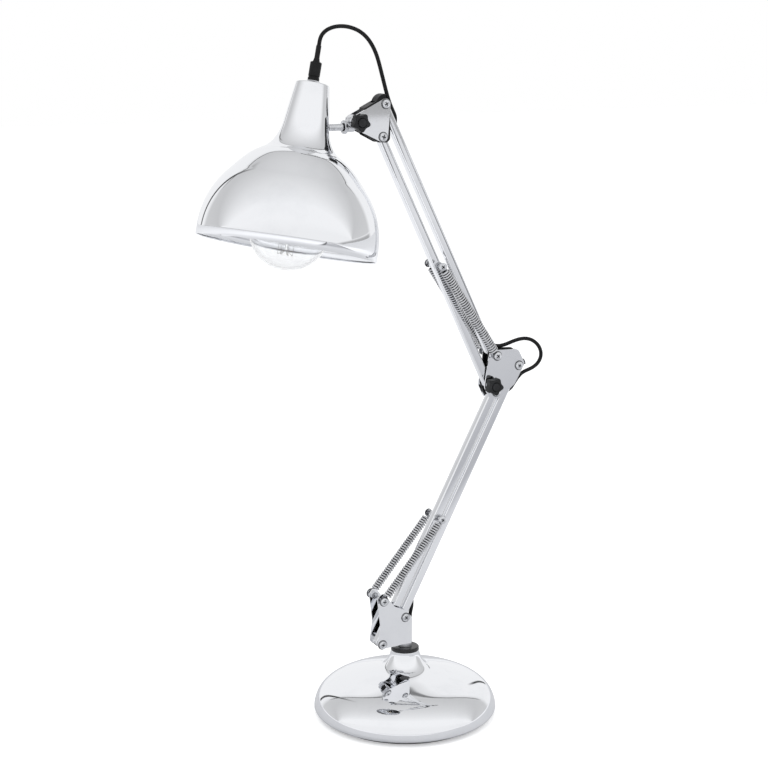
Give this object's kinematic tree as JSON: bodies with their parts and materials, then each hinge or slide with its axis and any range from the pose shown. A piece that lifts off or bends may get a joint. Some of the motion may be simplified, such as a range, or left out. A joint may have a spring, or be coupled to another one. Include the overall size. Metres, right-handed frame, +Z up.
{
  "type": "desk lamp",
  "caption": "Desk lamp with a domed weighted base, a sprung arm of paired square tubes, level-keeping brackets, clamp knobs and a turning dome shade with a clear globe bulb",
  "frame": {"origin": "centre of the base's flat underside", "axes": "+Z up; the arm lies in the plane Y = 0 with the head towards -X and the elbow towards +X; the shade's mouth faces down and a little towards -Y"},
  "size_m": [0.3803, 0.194, 0.7119],
  "materials": {
    "chrome": "polished",
    "screws": "bright",
    "spring_wire": "bright drawn",
    "steel": "turned",
    "iron": "as cast",
    "pad": "matt",
    "black_rubber": "matt",
    "black_plastic": "satin",
    "knob_plastic": "moulded",
    "cord": "smooth",
    "brass": "bright",
    "ceramic": "glazed",
    "glass": "clear"
  },
  "bodies": {
    "base": {"base_shell": "chrome", "base_weight": "iron", "base_pad": "pad", "neck_bush": "black_plastic", "bush_nut": "steel", "cord_gland": "black_rubber", "base_cord": "cord"},
    "base_bracket": {"base_bracket": "chrome", "spindle": "steel", "spindle_clip": "steel", "base_bolts": "screws", "base_nuts": "screws", "base_spacers": "steel", "ear_screws": "screws", "lower_springs": "spring_wire", "foot_cord": "cord"},
    "lower_link": {"lower_left_tube": "chrome", "lower_left_plugs": "black_plastic", "lower_spring_pin": "screws"},
    "lower_arm": {"lower_right_tube": "chrome", "lower_right_plugs": "black_plastic", "lower_cord": "cord"},
    "elbow_bracket": {"elbow_plates": "chrome", "elbow_core": "black_plastic", "elbow_screws": "screws", "elbow_nuts": "screws", "spring_bolt": "screws", "elbow_clamp_bolt": "screws", "elbow_washer": "screws", "upper_springs": "spring_wire", "elbow_cord": "cord"},
    "elbow_knob": {"elbow_knob": "knob_plastic"},
    "upper_link": {"upper_left_tube": "chrome", "upper_left_plugs": "black_plastic", "upper_spring_pin": "screws"},
    "upper_arm": {"upper_right_tube": "chrome", "upper_right_plugs": "black_plastic", "upper_cord": "cord"},
    "head_bracket": {"head_plates": "chrome", "head_core": "black_plastic", "head_screws": "screws", "head_nuts": "screws", "head_clamp_bolt": "screws", "head_washer": "screws", "head_cord": "cord"},
    "head_knob": {"head_knob": "knob_plastic"},
    "head_swivel": {"knuckle": "chrome", "rod_collar": "chrome", "rod_nut": "screws"},
    "shade": {"shade": "chrome", "cord_grip": "black_plastic", "grip_washer": "screws", "shade_cord": "cord", "nipple": "steel", "holder_shell": "black_plastic", "holder_sleeve": "brass", "holder_insert": "ceramic", "bulb_glass": "glass", "bulb_cap": "brass", "bulb_filament": "glass"}
  },
  "joints": [
    {"name": "base_turn", "type": "hinge", "parent": "base", "child": "base_bracket", "pos_m": [0, 0, 0.0753], "axis": [0, 0, 1], "range_deg": [-170, 170]},
    {"name": "lower_arm", "type": "hinge", "parent": "base_bracket", "child": "lower_arm", "pos_m": [-0.00447, 0, 0.10999], "axis": [0, 1, 0], "range_deg": [-57, 3], "deforming": ["foot_cord"]},
    {"name": "lower_link", "type": "hinge", "parent": "base_bracket", "child": "lower_link", "pos_m": [-0.0309, 0, 0.0841], "axis": [0, 1, 0], "range_deg": [-57, 3], "deforming": ["lower_springs"]},
    {"name": "elbow_level", "type": "hinge", "parent": "lower_arm", "child": "elbow_bracket", "pos_m": [0.1276, 0, 0.36367], "axis": [0, 1, 0], "range_deg": [-3, 57], "deforming": ["elbow_cord"]},
    {"name": "elbow_knob_turn", "type": "hinge", "parent": "elbow_bracket", "child": "elbow_knob", "pos_m": [0.09436, 0, 0.34569], "axis": [0, 1, 0], "range_deg": [0, 360]},
    {"name": "upper_arm", "type": "hinge", "parent": "elbow_bracket", "child": "upper_arm", "pos_m": [0.09732, 0, 0.37755], "axis": [0, 1, 0], "range_deg": [-70, 12]},
    {"name": "upper_link", "type": "hinge", "parent": "elbow_bracket", "child": "upper_link", "pos_m": [0.09436, 0, 0.34569], "axis": [0, 1, 0], "range_deg": [-70, 12], "deforming": ["upper_springs"]},
    {"name": "head_level", "type": "hinge", "parent": "upper_arm", "child": "head_bracket", "pos_m": [-0.02581, 0, 0.63569], "axis": [0, 1, 0], "range_deg": [-12, 70], "deforming": ["head_cord"]},
    {"name": "head_knob_turn", "type": "hinge", "parent": "head_bracket", "child": "head_knob", "pos_m": [-0.05647, 0, 0.61882], "axis": [0, 1, 0], "range_deg": [0, 360]},
    {"name": "head_tilt", "type": "hinge", "parent": "head_bracket", "child": "head_swivel", "pos_m": [-0.05647, 0, 0.61882], "axis": [0, 1, 0], "range_deg": [-12, 60]},
    {"name": "shade_roll", "type": "hinge", "parent": "head_swivel", "child": "shade", "pos_m": [-0.085, 0, 0.61402], "axis": [1, 0, 0], "range_deg": [-45, 45]}
  ],
  "couplings": [
    {"joint": "lower_link", "follows": "lower_arm", "ratio": 1},
    {"joint": "elbow_level", "follows": "lower_arm", "ratio": -1},
    {"joint": "upper_link", "follows": "upper_arm", "ratio": 1},
    {"joint": "head_level", "follows": "upper_arm", "ratio": -1}
  ]
}
